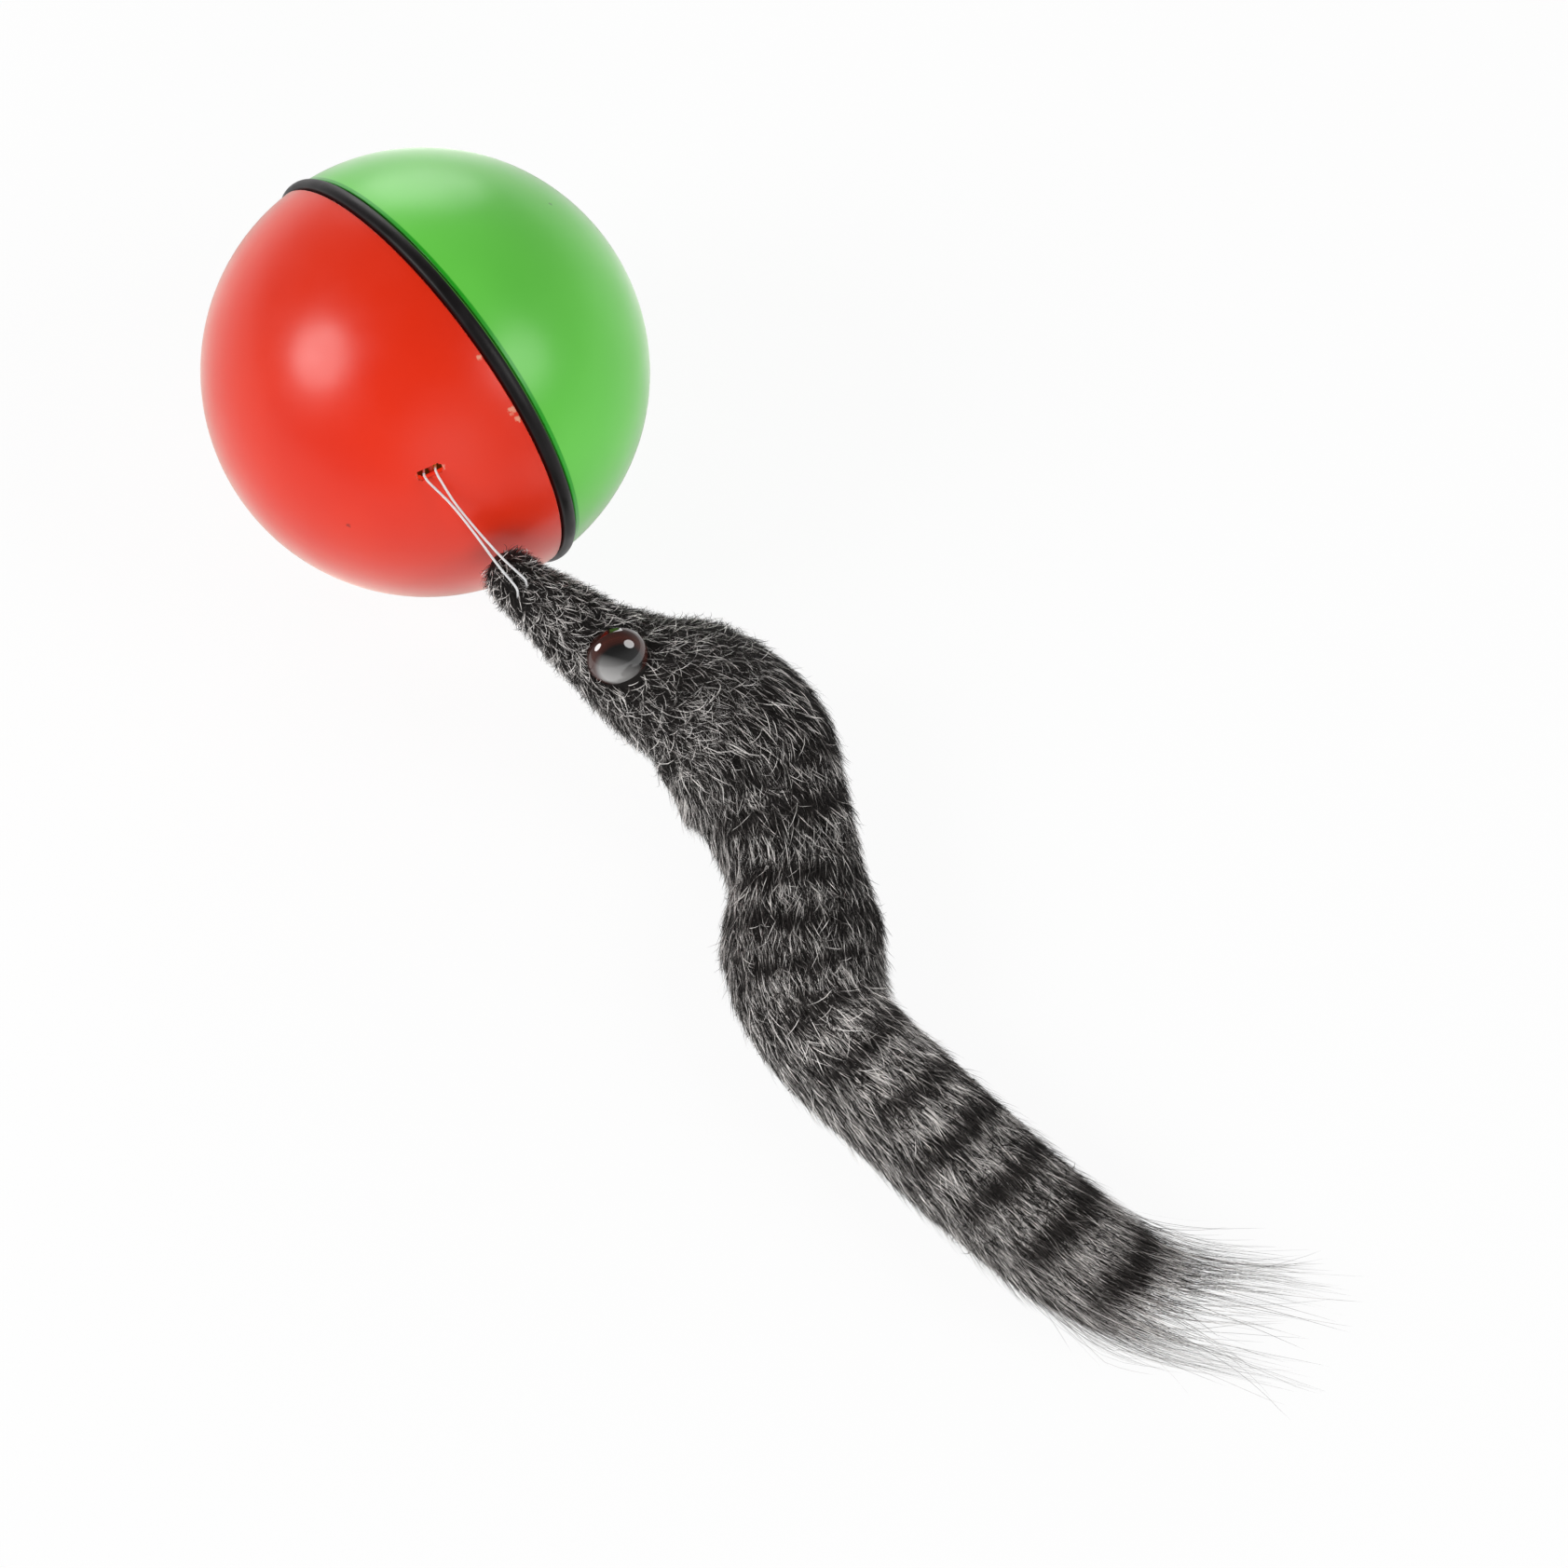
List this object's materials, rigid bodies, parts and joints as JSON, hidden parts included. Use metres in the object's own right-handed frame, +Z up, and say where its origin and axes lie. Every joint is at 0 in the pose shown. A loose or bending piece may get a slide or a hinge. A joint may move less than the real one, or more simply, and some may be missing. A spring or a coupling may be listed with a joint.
{
  "type": "electric ball cat toy",
  "caption": "Motorised ball of two twist-lock half shells with a rubber band round the seam, towing a stuffed grey fur animal on a nylon line.",
  "frame": {"origin": "middle of the whole toy's footprint, on the floor", "axes": "+X from the ball towards the creature's tail, +Y along the ball's pole axis from the red pole to the green pole, +Z up"},
  "size_m": [0.285, 0.082, 0.0834],
  "materials": {
    "red_plastic": "satin moulded",
    "green_plastic": "satin moulded",
    "black_rubber": "satin",
    "case_plastic": "fine texture",
    "white_plastic": "moulded",
    "gear_plastic": "moulded",
    "steel": "plain",
    "brass": "plain",
    "cell_jacket": "plain sleeve",
    "nylon": "clear filament",
    "grey_fur": "long pile, banded",
    "brown_eye": "polished",
    "red_lead": "plain sleeve",
    "black_lead": "plain sleeve"
  },
  "bodies": {
    "ball": {"red_half_shell": "red_plastic", "equator_band": "black_rubber", "drive_hub": "white_plastic", "output_gear": "gear_plastic", "line_toggle": "steel", "line_anchor": "nylon"},
    "lid": {"green_half_shell": "green_plastic", "pivot_bush": "brass"},
    "drive_unit": {"drive_case_base": "case_plastic", "drive_case_cover": "case_plastic", "gearbox_plate": "case_plastic", "gearbox_cover": "case_plastic", "battery_cell": "cell_jacket", "contact_plate": "brass", "contact_spring": "steel", "motor_can": "steel", "motor_end_cap": "white_plastic", "switch_body": "white_plastic", "pivot_pin": "steel", "gear_axle_1": "steel", "gear_axle_2": "steel", "output_pivot": "steel", "lead_supply": "red_lead", "lead_switch": "red_lead", "lead_return": "black_lead", "gearbox_screw_1": "steel", "gearbox_screw_2": "steel", "gearbox_screw_3": "steel", "case_screw_1": "steel", "case_screw_2": "steel", "case_screw_3": "steel", "case_screw_4": "steel"},
    "gear_1": {"gear_1": "gear_plastic"},
    "gear_2": {"gear_2": "gear_plastic"},
    "motor_rotor": {"motor_shaft": "steel", "motor_pinion": "gear_plastic"},
    "switch_knob": {"switch_knob": "white_plastic"},
    "tie_line": {"tie_line": "nylon"},
    "creature": {"creature_head": "grey_fur", "creature_shoulder": "grey_fur", "creature_middle": "grey_fur", "creature_hind": "grey_fur", "creature_tail": "grey_fur", "eye_upper": "brown_eye", "eye_lower": "brown_eye"}
  },
  "joints": [
    {"name": "lid_twist", "type": "hinge", "parent": "ball", "child": "lid", "pos_m": [-0.10081, 0, 0.04171], "axis": [0, 1, 0], "range_deg": [0, 20]},
    {"name": "drive_spin", "type": "hinge", "parent": "ball", "child": "drive_unit", "pos_m": [-0.10081, 0, 0.04171], "axis": [0, 1, 0], "continuous": true},
    {"name": "gear_2_spin", "type": "hinge", "parent": "drive_unit", "child": "gear_2", "pos_m": [-0.0936, 0, 0.04517], "axis": [0, 1, 0], "continuous": true},
    {"name": "gear_1_spin", "type": "hinge", "parent": "drive_unit", "child": "gear_1", "pos_m": [-0.08926, 0, 0.03844], "axis": [0, 1, 0], "continuous": true},
    {"name": "motor_spin", "type": "hinge", "parent": "drive_unit", "child": "motor_rotor", "pos_m": [-0.09131, 0, 0.03071], "axis": [0, 1, 0], "continuous": true},
    {"name": "switch_slide", "type": "slide", "parent": "drive_unit", "child": "switch_knob", "axis": [1, 0, 0], "range_m": [0, 0.003]},
    {"name": "line_swing", "type": "hinge", "parent": "ball", "child": "tie_line", "pos_m": [-0.07322, -0.01969, 0.06478], "axis": [-0.2072, -0.8525, -0.4798], "range_deg": [0, 60]},
    {"name": "snout_turn", "type": "hinge", "parent": "tie_line", "child": "creature", "pos_m": [-0.0506, -0.01796, 0.05194], "axis": [0, 0, 1], "range_deg": [-30, 30]}
  ],
  "couplings": [
    {"joint": "gear_2_spin", "follows": "drive_spin", "ratio": 3},
    {"joint": "gear_1_spin", "follows": "drive_spin", "ratio": -9},
    {"joint": "motor_spin", "follows": "drive_spin", "ratio": 27}
  ]
}
